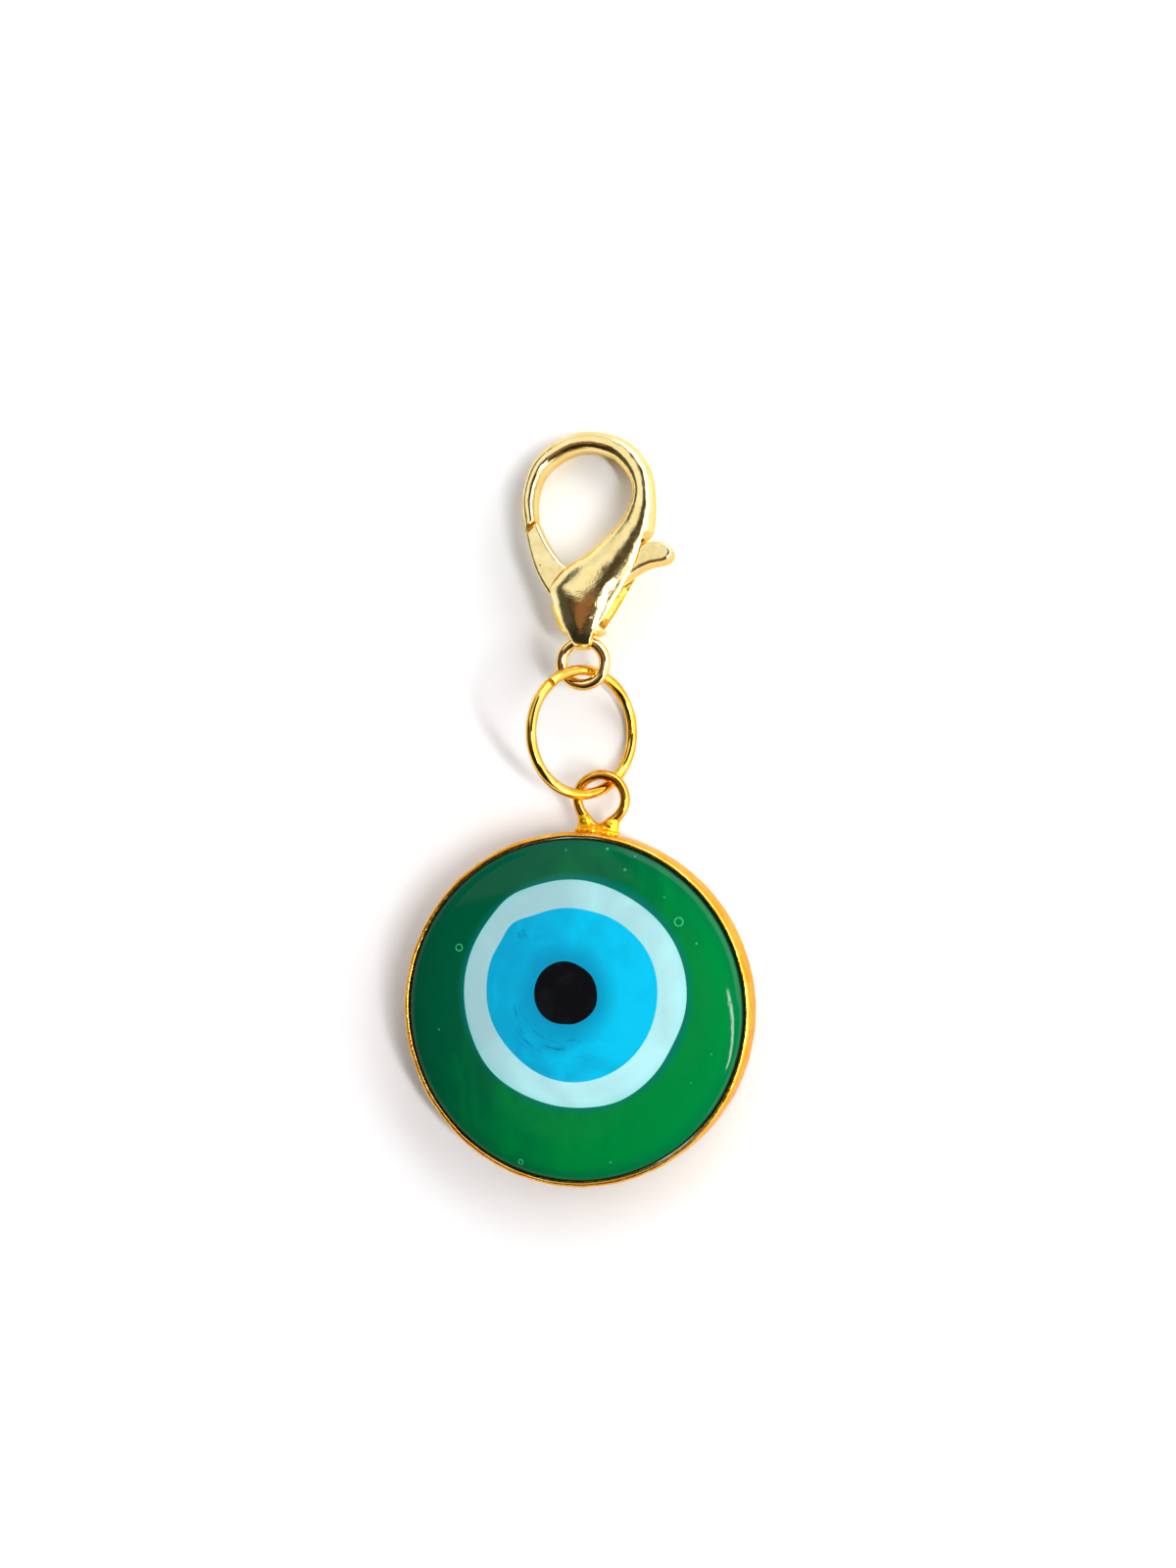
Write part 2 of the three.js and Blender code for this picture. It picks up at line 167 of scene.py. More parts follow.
joints = {joint["name"]: joint for joint in frame["joints"]}


def middle(node):
    """The middle of a node's box, in metres."""
    low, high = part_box(node)
    return (low + high) / 2


def half_size(node):
    """Half of a node's box, in millimetres."""
    low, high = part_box(node)
    return (high - low) / 2 / MM


def clasp_place():
    """The clasp's own frame, from its two joints."""
    up = -Vector(joints["lever_hinge"]["axis"]).normalized()
    right = Vector((1, 0, 0))
    turn = Matrix((right, up.cross(right), up)).transposed().to_4x4()
    return Matrix.Translation(joints["clasp_ring_fold"]["pos_m"]) @ turn @ TO_METRES


def flat_place(point):
    """Puts a shape made in millimetres at a point in metres, without turning it."""
    return Matrix.Translation(point) @ TO_METRES


strip_middle = middle("bezel_strip")
PENDANT = flat_place((strip_middle.x, strip_middle.y, cad_box[0].z))
CLASP = clasp_place()
LOOP_IN_PENDANT = PENDANT.inverted() @ middle("pendant_loop")
LOOP_WIRE = half_size("pendant_loop").z
LOOP_RADIUS = half_size("pendant_loop").x - LOOP_WIRE
CLASP_RING_WIRE = half_size("clasp_ring").z
CLASP_RING_RADIUS = half_size("clasp_ring").x - CLASP_RING_WIRE

# ---- Meshes --------------------------------------------------------------------


def new_object(name, vertices, faces):
    """An object in the scene, with its faces pointing out."""
    mesh = bpy.data.meshes.new(name)
    mesh.from_pydata([tuple(v) for v in vertices], [], faces)
    work = bmesh.new()
    work.from_mesh(mesh)
    bmesh.ops.recalc_face_normals(work, faces=work.faces)
    work.to_mesh(mesh)
    work.free()
    made = bpy.data.objects.new(name, mesh)
    bpy.context.scene.collection.objects.link(made)
    return made


def skin(name, rings, closed=False):
    """A closed surface through rings of points. A ring of one point is a pole."""
    vertices = []
    starts = []
    for ring in rings:
        starts.append(len(vertices))
        vertices.extend(ring)
    pairs = [(k, k + 1) for k in range(len(rings) - 1)]
    if closed:
        pairs.append((len(rings) - 1, 0))
    faces = []
    for a, b in pairs:
        size_a, size_b = len(rings[a]), len(rings[b])
        for i in range(max(size_a, size_b)):
            corners = [
                starts[a] + i % size_a,
                starts[a] + (i + 1) % size_a,
                starts[b] + (i + 1) % size_b,
                starts[b] + i % size_b,
            ]
            faces.append(list(dict.fromkeys(corners)))
    return new_object(name, vertices, faces)


def apply(obj, *modifiers):
    """Applies modifiers, each given as its type and settings."""
    for kind, settings in modifiers:
        modifier = obj.modifiers.new(kind, kind)
        for key, value in settings.items():
            setattr(modifier, key, value)
    shown = obj.evaluated_get(bpy.context.evaluated_depsgraph_get())
    mesh = bpy.data.meshes.new_from_object(shown)
    obj.modifiers.clear()
    obj.data = mesh
    return obj


def cut(obj, *cutters):
    """Takes each cutter out of obj and removes the cutter."""
    for cutter in cutters:
        apply(obj, ("BOOLEAN", {"operation": "DIFFERENCE", "solver": "MANIFOLD", "object": cutter}))
        bpy.data.objects.remove(cutter)


def cast(obj, voxel, smoothing):
    """Rounds a shape's edges as a casting's or a plated part's are."""
    remesh = {"mode": "VOXEL", "voxel_size": voxel, "adaptivity": 0.0}
    return apply(obj, ("REMESH", remesh), ("SMOOTH", {"factor": 0.5, "iterations": smoothing}))


def joined(name, parts):
    """One object from several, which are removed."""
    work = bmesh.new()
    for part in parts:
        work.from_mesh(part.data)
    mesh = bpy.data.meshes.new(name)
    work.to_mesh(mesh)
    work.free()
    for part in parts:
        bpy.data.objects.remove(part)
    made = bpy.data.objects.new(name, mesh)
    bpy.context.scene.collection.objects.link(made)
    return made


def roughen(obj, amount, size, seed):
    """Moves vertices along their normals by soft noise. Each seed uses another part of the noise."""
    shift = Vector((seed * 17.3, seed * 5.1, seed * 9.7))
    normals = [v.normal.copy() for v in obj.data.vertices]
    for vertex, normal in zip(obj.data.vertices, normals):
        vertex.co += normal * (amount * noise.noise(vertex.co / size + shift))
    return obj


def copy_of(node, name):
    """A new object with a CAD node's shape, in millimetres."""
    mesh = frame["nodes"][node].data.copy()
    mesh.transform(TO_MM)
    mesh.materials.clear()
    made = bpy.data.objects.new(name, mesh)
    bpy.context.scene.collection.objects.link(made)
    work = bmesh.new()
    work.from_mesh(mesh)
    bmesh.ops.remove_doubles(work, verts=work.verts, dist=1e-4)
    work.to_mesh(mesh)
    work.free()
    return made


def finished(obj, place, material, body, nodes=(), crease=180):
    """Puts a made shape in place as a piece of the object. Edges above the crease angle stay sharp."""
    obj.data.transform(place)
    obj.data.shade_smooth()
    if crease < 180:
        obj.data.set_sharp_from_angle(angle=math.radians(crease))
    obj.data.materials.clear()
    obj.data.materials.append(material)
    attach(obj, body)
    if nodes:
        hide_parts(*nodes)


def around(count):
    """Even angles round a circle."""
    return [2 * math.pi * i / count for i in range(count)]


def tube(name, section_at, count, sides, closed=True):
    """A wire through count places. section_at(i) gives a centre, two directions and the radius."""
    rings = []
    for i in range(count):
        centre, across, up, radius = section_at(i)
        rings.append([
            centre + across * (radius * math.cos(a)) + up * (radius * math.sin(a))
            for a in around(sides)
        ])
    if closed:
        return skin(name, rings, closed=True)
    ends = [[sum(ring, Vector()) / sides] for ring in (rings[0], rings[-1])]
    return skin(name, [ends[0], *rings, ends[1]])


# ---- Materials -------------------------------------------------------------------


def tone(red, green, blue):
    """A linear colour from display values of 0 to 255."""
    levels = [value / 255 for value in (red, green, blue)]
    linear = [v / 12.92 if v <= 0.04045 else ((v + 0.055) / 1.055) ** 2.4 for v in levels]
    return (*linear, 1.0)


PIT_BROWN = tone(92, 58, 22)
SLOT_YELLOW = tone(255, 210, 48)
METAL_SHEEN = tone(255, 216, 150)
GREEN_SHADE = tone(0, 80, 52)
GREEN_LIGHT = tone(0, 124, 55)
# Painted shade for the band round the green glass's edge.
GREEN_RIM = tone(0, 84, 62)
TEAL = tone(0, 108, 100)
# Painted shadow for the thin dark line in the gap between the glass and the strip's lip.
PAINTED_GAP_SHADOW = tone(8, 26, 16)
MILK_SHADE = tone(150, 191, 198)
MILK_LIGHT = tone(174, 231, 236)
MILK_EDGE = tone(110, 196, 196)
SPECK_BROWN = tone(112, 124, 84)
SKY_SHADE = tone(0, 152, 194)
SKY_LIGHT = tone(0, 188, 231)
SKY_HALO = tone(0, 136, 178)
WISP_BLUE = tone(0, 78, 118)
SMUDGE_BLUE = tone(0, 84, 112)
PUPIL_BLACK = tone(2, 8, 13)
PUPIL_CLOUD = tone(8, 17, 24)
# Painted highlight colours for the bubbles' walls.
BUBBLE_SHADE = tone(0, 140, 84)
BUBBLE_LIGHT = tone(70, 190, 130)
STEEL_SHADE = tone(150, 150, 152)
STEEL_LIGHT = tone(206, 208, 212)
PAPER_SHADE = tone(248, 249, 252)
PAPER_LIGHT = tone(252, 252, 254)

# How closely each pattern repeats, per millimetre.
PATCHES = 0.55
SMEARS = 2.2
GRAIN = 5.0
PITS = 1.15
PIT_GROUPS = 0.5
SLOT_PATCHES = 1.6
GLASS_WAVES = 0.35
GREEN_STREAKS = 0.24
MILK_CLOUDS = 0.18
SKY_CLOUDS = 0.3
WISPS = 4.2
SMUDGE_GRAIN = 3.5
PUPIL_CLOUDS = 0.9
BUBBLE_CLOUDS = 3.0
STEEL_PATCHES = 6.0
STEEL_SMEARS = 9.0
STEEL_GRAIN = 30.0
PAPER_CLOUDS = 0.02

# Depths, reaches and places, in millimetres. A pair of radii is where a mark starts and stops to fade.
METAL_RELIEF = 0.03
GLASS_RELIEF = 0.1
STEEL_RELIEF = 0.01
PIT_RADII = (0.05, 0.11)
SLOT_ENDS = (0.9, 8.2)  # along the clasp from its tail's hole
SPECK = (6.9, -7.2)  # from the pendant's centre, as the smudge is
SPECK_RADII = (0.08, 0.2)
SMUDGE = (-4.2, 6.4)
SMUDGE_RADII = (0.1, 0.55)
TEAL_REACH = 0.75
HALO_RADIUS = 5.0
WISP_RADII = (3.3, 4.0, 5.0, 6.2)  # from the pupil's centre, where they fade in and out

WISPS_TOWARDS = 2.25  # the wisps lie below the pupil to its left, this far round in radians
WISPS_SPREAD = (0.7, 1.4)
GLASS_IOR = 1.5


class Graph:
    """A node tree built by short calls."""

    def __init__(self, tree):
        self.tree = tree

    def add(self, kind, inputs, **settings):
        """A node. An input is a value, or another node's socket to link."""
        node = self.tree.nodes.new(kind)
        for key, value in settings.items():
            setattr(node, key, value)
        for key, value in inputs.items():
            if isinstance(value, bpy.types.NodeSocket):
                self.tree.links.new(value, node.inputs[key])
            else:
                node.inputs[key].default_value = value
        return node

    def drive(self, shader, socket, value):
        """Links a value to a shader's socket."""
        self.tree.links.new(value, shader.inputs[socket])

    def stretch(self, at, scale):
        """A place with each coordinate scaled."""
        return self.add("ShaderNodeVectorMath", {0: at, 1: scale}, operation="MULTIPLY").outputs[0]

    def millimetres(self):
        """The place on the object, in millimetres."""
        place = self.add("ShaderNodeTexCoord", {}).outputs["Object"]
        return self.stretch(place, (1 / MM, 1 / MM, 1 / MM))

    def noise(self, at, scale, detail=3.0, distortion=0.0, roughness=0.5):
        inputs = {"Vector": at, "Scale": scale, "Detail": detail}
        inputs.update({"Distortion": distortion, "Roughness": roughness})
        return self.add("ShaderNodeTexNoise", inputs).outputs["Fac"]

    def cells(self, at, scale):
        """The distance to the nearest of many scattered points."""
        return self.add("ShaderNodeTexVoronoi", {"Vector": at, "Scale": scale}).outputs["Distance"]

    def step(self, value, low, high, start=0.0, end=1.0):
        """Start below low, end above high, and a smooth change between them."""
        inputs = {0: value, 1: low, 2: high, 3: start, 4: end}
        node = self.add("ShaderNodeMapRange", inputs, interpolation_type="SMOOTHSTEP")
        return node.outputs["Result"]

    def math(self, operation, a, b=0.0):
        return self.add("ShaderNodeMath", {0: a, 1: b}, operation=operation).outputs[0]

    def plus(self, a, b):
        return self.math("ADD", a, b)

    def times(self, a, b):
        return self.math("MULTIPLY", a, b)

    def mix(self, factor, a, b):
        node = self.add("ShaderNodeMix", {0: factor, 6: a, 7: b}, data_type="RGBA")
        return node.outputs[2]

    def distance(self, at, point):
        inputs = {0: at, 1: tuple(point)}
        return self.add("ShaderNodeVectorMath", inputs, operation="DISTANCE").outputs["Value"]

    def along(self, at, direction, origin):
        """How far a place lies along a direction from an origin."""
        inputs = {0: at, 1: tuple(direction)}
        reach = self.add("ShaderNodeVectorMath", inputs, operation="DOT_PRODUCT").outputs["Value"]
        return self.math("SUBTRACT", reach, direction.dot(origin))

    def bump(self, height, strength, distance):
        inputs = {"Height": height, "Strength": strength, "Distance": distance * MM}
        return self.add("ShaderNodeBump", inputs).outputs["Normal"]

    def pointiness(self):
        """Over a half on edges that stand out, and under a half in grooves."""
        return self.add("ShaderNodeNewGeometry", {}).outputs["Pointiness"]


def new_material(name):
    """A material, with its graph and its shader."""
    material = bpy.data.materials.new(name)
    material.use_nodes = True
    return material, Graph(material.node_tree), material.node_tree.nodes["Principled BSDF"]


def gold(name, bright, deep, roughness, grain, pits, slot=False):
    """Plated brass: patches of two tones, edges worn to the deeper one, fine grain and a few pits.

    With slot, the clasp's slot has its own unpolished walls.
    """
    material, graph, shader = new_material(name)
    at = graph.millimetres()
    patches = graph.step(graph.noise(at, PATCHES, 4.0), 0.36, 0.66)
    colour = graph.mix(patches, deep, bright)
    worn = graph.step(graph.pointiness(), 0.52, 0.6, end=0.5)
    colour = graph.mix(worn, colour, deep)
    holes = graph.step(graph.cells(at, PITS), *PIT_RADII, start=1.0, end=0.0)
    holes = graph.times(holes, graph.step(graph.noise(at, PIT_GROUPS, 2.0), 0.5, 0.5 + pits))
    colour = graph.mix(holes, colour, PIT_BROWN)
    smears = graph.noise(at, SMEARS, 4.0)
    smear = graph.step(smears, 0.3, 0.75, start=roughness * 0.75, end=roughness * 1.4)
    shader.inputs["Metallic"].default_value = 1.0
    if slot:
        uneven = graph.step(graph.noise(at, SLOT_PATCHES, 3.0), 0.3, 0.62, start=0.55)
        hidden = graph.times(slot_mask(graph, at), uneven)
        colour = graph.mix(hidden, colour, SLOT_YELLOW)
        dull = graph.times(hidden, 0.4)
        smear = graph.math("MAXIMUM", smear, dull)
        graph.drive(shader, "Metallic", graph.math("SUBTRACT", 1.0, dull))
    shader.inputs["Specular Tint"].default_value = METAL_SHEEN
    graph.drive(shader, "Base Color", colour)
    graph.drive(shader, "Roughness", smear)
    fine = graph.times(graph.noise(at, GRAIN, 4.0), grain)
    relief = graph.math("SUBTRACT", fine, holes)
    graph.drive(shader, "Normal", graph.bump(relief, 0.6, METAL_RELIEF))
    return material


def slot_mask(graph, at):
    """1 on the clasp's walls inside its slot, where the plating is yellow and unpolished."""
    axes = CLASP.to_3x3()
    along, up = axes.col[1].normalized(), axes.col[2].normalized()
    origin = CLASP.translation / MM
    height = graph.math("ABSOLUTE", graph.along(at, up, origin))
    reach = graph.along(at, along, origin)
    tail_end, hook_end = SLOT_ENDS
    between = graph.step(height, SLOT_HALF - 0.08, SLOT_HALF + 0.02, start=1.0, end=0.0)
    past_tail = graph.step(reach, tail_end - 0.15, tail_end + 0.1)
    before_hook = graph.step(reach, hook_end - 0.2, hook_end + 0.2, start=1.0, end=0.0)
    return graph.times(between, graph.times(past_tail, before_hook))


def finish_glass(graph, shader, at, colour, roughness, shine=0.2):
    """Polished glass that was pressed by hand: its surface is a little wavy."""
    graph.drive(shader, "Base Color", colour)
    shader.inputs["Roughness"].default_value = roughness
    shader.inputs["IOR"].default_value = GLASS_IOR
    shader.inputs["Specular IOR Level"].default_value = shine
    waves = graph.noise(at, GLASS_WAVES, 2.0)
    graph.drive(shader, "Normal", graph.bump(waves, 0.2, GLASS_RELIEF))


def eye_point(x, y):
    """A place on the glass, from the pendant's centre, in the materials' millimetres."""
    return PENDANT @ Vector((x, y, dome_z(x, y))) / MM


def green_glass():
    """Deep green with slow streaks and a teal edge round the white spot; painted light makes it lighter
    to the right, and painted shade darkens its rim and the gap by the strip.
    """
    material, graph, shader = new_material("green_glass")
    at = graph.millimetres()
    # Painted light: the glass grows lighter along this direction, as if lit through from the right.
    side = graph.along(at, Vector((0.85, -0.53, 0)), eye_point(0, 0))
    streaks = graph.noise(graph.stretch(at, (1.0, 0.45, 1.0)), GREEN_STREAKS, 4.0, distortion=1.8)
    painted_light = graph.step(side, -15.0, 13.0, start=-0.25, end=0.55)
    mottle_and_painted_light = graph.plus(graph.times(streaks, 0.7), painted_light)
    colour = graph.mix(graph.step(mottle_and_painted_light, 0.1, 0.9), GREEN_SHADE, GREEN_LIGHT)
    shoulder = SHOULDER_Z - GLASS_HEIGHT
    front = graph.step(graph.along(at, UP, eye_point(0, 0)), shoulder - 0.8, shoulder)
    from_white = graph.distance(at, eye_point(*WHITE["centre"]))
    white_edge = WHITE["radius"]
    edge = graph.step(from_white, white_edge - 0.1, white_edge + TEAL_REACH, start=0.75, end=0.0)
    colour = graph.mix(graph.times(edge, front), colour, TEAL)
    # Painted shade: the green turns darker and bluer in a band round the glass's edge.
    plan = Vector((1, 1, 0))
    from_middle = graph.distance(graph.stretch(at, tuple(plan)), eye_point(0, 0) * plan)
    rim = graph.step(from_middle, GLASS_RADIUS - 1.6, GLASS_RADIUS, end=0.5)
    colour = graph.mix(rim, colour, GREEN_RIM)
    # Painted shadow: a thin dark line at the glass's very edge, in the gap under the strip's lip.
    gap_shadow = graph.step(from_middle, GLASS_RADIUS - 0.24, GLASS_RADIUS - 0.1, end=0.85)
    colour = graph.mix(gap_shadow, colour, PAINTED_GAP_SHADOW)
    finish_glass(graph, shader, at, colour, roughness=0.07, shine=0.11)
    return material


def white_glass():
    """Milky blue-white with faint clouds, painted lighter to the lower right, a greener edge and one
    brown speck.
    """
    material, graph, shader = new_material("white_glass")
    at = graph.millimetres()
    # Painted light: the milk is lighter towards the lower right, where the light falls.
    side = graph.along(at, Vector((0.8, -0.6, 0)), eye_point(0, 0))
    clouds = graph.noise(at, MILK_CLOUDS, 3.0, distortion=0.6)
    mottle_and_painted_light = graph.plus(clouds, graph.step(side, -10.0, 10.0, start=-0.3, end=0.3))
    colour = graph.mix(graph.step(mottle_and_painted_light, 0.1, 0.9), MILK_SHADE, MILK_LIGHT)
    speck = graph.step(graph.distance(at, eye_point(*SPECK)), *SPECK_RADII, start=0.7, end=0.0)
    colour = graph.mix(speck, colour, SPECK_BROWN)
    from_middle = graph.distance(at, eye_point(*WHITE["centre"]))
    edge = graph.step(from_middle, WHITE["radius"] - 0.7, WHITE["radius"] + 0.3, end=0.4)
    colour = graph.mix(edge, colour, MILK_EDGE)
    finish_glass(graph, shader, at, colour, roughness=0.09)
    return material


def blue_glass():
    """Sky blue, painted lighter to the right, with a dim ring round the pupil, dark wisps drawn round
    it, and a smudge.
    """
    material, graph, shader = new_material("blue_glass")
    at = graph.millimetres()
    pupil = eye_point(*PUPIL["centre"])
    away = graph.distance(at, pupil)
    right = graph.along(at, Vector((1, 0, 0)), pupil)
    up = graph.along(at, Vector((0, 1, 0)), pupil)
    angle = graph.math("ARCTAN2", up, right)
    clouds = graph.noise(at, SKY_CLOUDS, 4.0, distortion=1.0)
    # Painted light: the blue is lighter to the right, where the light falls.
    mottle_and_painted_light = graph.plus(clouds, graph.step(right, -7.0, 7.0, start=-0.3, end=0.3))
    colour = graph.mix(graph.step(mottle_and_painted_light, 0.1, 0.9), SKY_SHADE, SKY_LIGHT)
    halo = graph.step(away, PUPIL["radius"], HALO_RADIUS, start=0.8, end=0.0)
    colour = graph.mix(halo, colour, SKY_HALO)
    wisps = graph.times(wisp_pattern(graph, angle, away), wisp_place(graph, angle, away))
    colour = graph.mix(graph.times(wisps, 0.8), colour, WISP_BLUE)
    smudge = graph.step(graph.distance(at, eye_point(*SMUDGE)), *SMUDGE_RADII, start=0.75, end=0.0)
    smudge = graph.times(smudge, graph.step(graph.noise(at, SMUDGE_GRAIN, 3.0), 0.35, 0.6))
    colour = graph.mix(smudge, colour, SMUDGE_BLUE)
    finish_glass(graph, shader, at, colour, roughness=0.09)
    return material


def wisp_pattern(graph, angle, away):
    """Thin lines that run round the pupil."""
    swirl = graph.add("ShaderNodeCombineXYZ", {0: graph.times(angle, 0.5), 1: away}).outputs[0]
    return graph.step(graph.noise(swirl, WISPS, 5.0, distortion=0.6, roughness=0.65), 0.55, 0.68)


def wisp_place(graph, angle, away):
    """1 on the part of the blue glass where the wisps show."""
    inner = graph.step(away, *WISP_RADII[:2])
    outer = graph.step(away, *WISP_RADII[2:], start=1.0, end=0.0)
    turn = graph.math("ABSOLUTE", graph.plus(angle, WISPS_TOWARDS))
    below_left = graph.step(turn, *WISPS_SPREAD, start=1.0, end=0.0)
    return graph.times(graph.times(inner, outer), below_left)


def black_glass():
    """Near black, with a faint blue cloud."""
    material, graph, shader = new_material("black_glass")
    at = graph.millimetres()
    cloud = graph.step(graph.noise(at, PUPIL_CLOUDS, 3.0), 0.4, 0.7)
    colour = graph.mix(cloud, PUPIL_BLACK, PUPIL_CLOUD)
    finish_glass(graph, shader, at, colour, roughness=0.08)
    return material


def bubble_glass():
    """Bright green: a painted highlight where light gathers in a bubble's wall."""
    material, graph, shader = new_material("bubble_glass")
    at = graph.millimetres()
    colour = graph.mix(graph.noise(at, BUBBLE_CLOUDS, 2.0), BUBBLE_SHADE, BUBBLE_LIGHT)
    finish_glass(graph, shader, at, colour, roughness=0.12)
    return material


def spring_steel():
    """Drawn steel wire, a little uneven in tone and gloss."""
    material, graph, shader = new_material("spring_steel")
    at = graph.millimetres()
    colour = graph.mix(graph.noise(at, STEEL_PATCHES, 3.0), STEEL_SHADE, STEEL_LIGHT)
    graph.drive(shader, "Base Color", colour)
    shader.inputs["Metallic"].default_value = 1.0
    smear = graph.step(graph.noise(at, STEEL_SMEARS, 3.0), 0.3, 0.7, start=0.22, end=0.42)
    graph.drive(shader, "Roughness", smear)
    grain = graph.noise(at, STEEL_GRAIN, 2.0)
    graph.drive(shader, "Normal", graph.bump(grain, 0.2, STEEL_RELIEF))
    return material


CLASP_GOLD = gold(
    "clasp_gold", tone(252, 234, 174), tone(247, 224, 155),
    roughness=0.13, grain=0.8, pits=0.09, slot=True,
)
LEVER_GOLD = gold(
    "lever_gold", tone(249, 232, 176), tone(242, 220, 156), roughness=0.2, grain=0.22, pits=0.1,
)
LINK_GOLD = gold(
    "link_gold", tone(255, 230, 160), tone(244, 206, 132), roughness=0.1, grain=0.1, pits=0.05,
)
RING_GOLD = gold(
    "ring_gold", tone(242, 198, 96), tone(234, 174, 56), roughness=0.09, grain=0.1, pits=0.05,
)
LOOP_GOLD = gold(
    "loop_gold", tone(242, 198, 86), tone(226, 164, 62), roughness=0.16, grain=0.25, pits=0.08,
)
STRIP_GOLD = gold(
    "strip_gold", tone(250, 193, 88), tone(244, 168, 56), roughness=0.25, grain=0.5, pits=0.12,
)
SOLDER_GOLD = gold(
    "solder_gold", tone(255, 212, 58), tone(246, 172, 28), roughness=0.3, grain=0.6, pits=0.08,
)

# ---- Glass -------------------------------------------------------------------------

# Steps round the glass, and rows of points on each part of it.
COLUMNS = 256
BOWL_ROWS = 14
BACK_ROWS = 5
EDGE_ROWS = 8
SIDE_ROWS = 5
DOME_ROWS = 25
DOME_EDGE = 13.0  # inside this radius, the rings change from circles to the pocket's outline
GLASS_CREASE = 35  # an edge that turns more than this many degrees stays sharp


def dome_z(x, y):
    """The height of the domed face."""
    share = min(1.0, math.hypot(x, y) / GLASS_RADIUS)
    return SHOULDER_Z + (GLASS_HEIGHT - SHOULDER_Z) * math.sqrt(max(0.0, 1 - share ** 4))


def outline(spot, angle):
    """A point of the spot's edge, at an angle seen from its centre."""
    radius = spot["radius"]
    for degrees, height, spread in spot["swells"]:
        away = (math.degrees(angle) - degrees + 180) % 360 - 180
        radius += height * math.exp(-((away / spread) ** 2))
    x, y = spot["centre"]
    return Vector((x + radius * math.cos(angle), y + radius * math.sin(angle)))


def rim_point(angle):
    """A point of the glass's edge, seen from above."""
    return Vector((GLASS_RADIUS * math.cos(angle), GLASS_RADIUS * math.sin(angle)))


def on_dome(point, drop=0.0):
    """A point dropped below the domed face, or on it."""
    return Vector((point.x, point.y, dome_z(point.x, point.y) - drop))


def bowl(spot):
    """Rings of the spot's rounded underside, from its lowest point out to its edge."""
    centre = Vector(spot["centre"])
    rings = [[on_dome(centre, spot["depth"])]]
    for k in range(1, BOWL_ROWS + 1):
        share = math.sin(k / BOWL_ROWS * math.pi / 2)
        drop = spot["depth"] * math.sqrt(max(0.0, 1 - share ** 4))
        rings.append([on_dome(centre.lerp(outline(spot, a), share), drop) for a in around(COLUMNS)])
    return rings


def face(outer, inner, rows):
    """Rings on the dome from one outline towards another, with neither end."""
    rings = []
    for k in range(1, rows):
        rings.append([on_dome(outer(a).lerp(inner(a), k / rows)) for a in around(COLUMNS)])
    return rings


def spot_piece(name, spot, hole, rows, material, node):
    """A spot of glass: its bowl, its face and the pocket for the next spot."""
    rings = bowl(spot)
    if hole:
        rings += face(lambda a: outline(spot, a), lambda a: outline(hole, a), rows)
        rings += bowl(hole)[::-1]
    else:
        centre = Vector(spot["centre"])
        rings += face(lambda a: outline(spot, a), lambda a: centre, rows)
        rings.append([on_dome(centre)])
    finished(skin(name, rings), PENDANT, material, "pendant", [node], crease=GLASS_CREASE)


def green_piece():
    """The cabochon: a flat back with a rounded edge, an upright side, and a dome with a pocket."""

    def circle(radius, z):
        return [Vector((radius * math.cos(a), radius * math.sin(a), z)) for a in around(COLUMNS)]

    rings = [[Vector((0, 0, 0))]]
    for k in range(1, BACK_ROWS + 1):
        rings.append(circle(BACK_FLAT_RADIUS * k / BACK_ROWS, 0))
    for k in range(1, EDGE_ROWS + 1):
        turn = k / EDGE_ROWS * math.pi / 2
        reach = (GLASS_RADIUS - BACK_FLAT_RADIUS) * math.sin(turn)
        rings.append(circle(BACK_FLAT_RADIUS + reach, BACK_EDGE_Z * (1 - math.cos(turn))))
    for k in range(1, SIDE_ROWS + 1):
        rings.append(circle(GLASS_RADIUS, BACK_EDGE_Z + (SHOULDER_Z - BACK_EDGE_Z) * k / SIDE_ROWS))
    for k in range(1, DOME_ROWS):
        share = math.sqrt(math.cos(k / DOME_ROWS * math.pi / 2))
        if share * GLASS_RADIUS < DOME_EDGE:
            break
        rings.append([on_dome(rim_point(a) * share) for a in around(COLUMNS)])
    edge = share
    rings += face(lambda a: rim_point(a) * edge, lambda a: outline(WHITE, a), rows=12)
    rings += bowl(WHITE)[::-1]
    made = skin("green_glass", rings)
    material = green_glass()
    finished(made, PENDANT, material, "pendant", ["glass_base"], crease=GLASS_CREASE)


BUBBLES = [  # x, y and radius, from the pendant's centre
    (9.14, 7.57, 0.42), (-9.8, 5.19, 0.34), (4.53, 11.87, 0.12), (10.64, 5.78, 0.1), (2.93, 13.6, 0.12),
    (13.4, 0.85, 0.1), (-4.55, -12.9, 0.24), (3.27, -12.67, 0.1), (-0.6, 13.5, 0.08), (5.3, 13.0, 0.08),
    (11.9, -3.4, 0.08), (10.2, -5.8, 0.07), (-11.6, -1.8, 0.08), (7.9, 9.6, 0.08),
]
RING_BUBBLE = 0.2  # a bubble wider than this left a ring
RING_WALL = 0.17  # the half thickness of a ring's wall, and of a dot's, as shares of the radius
DOT_WALL = 0.47
BUBBLE_STEPS = 28
BUBBLE_SIDES = 10


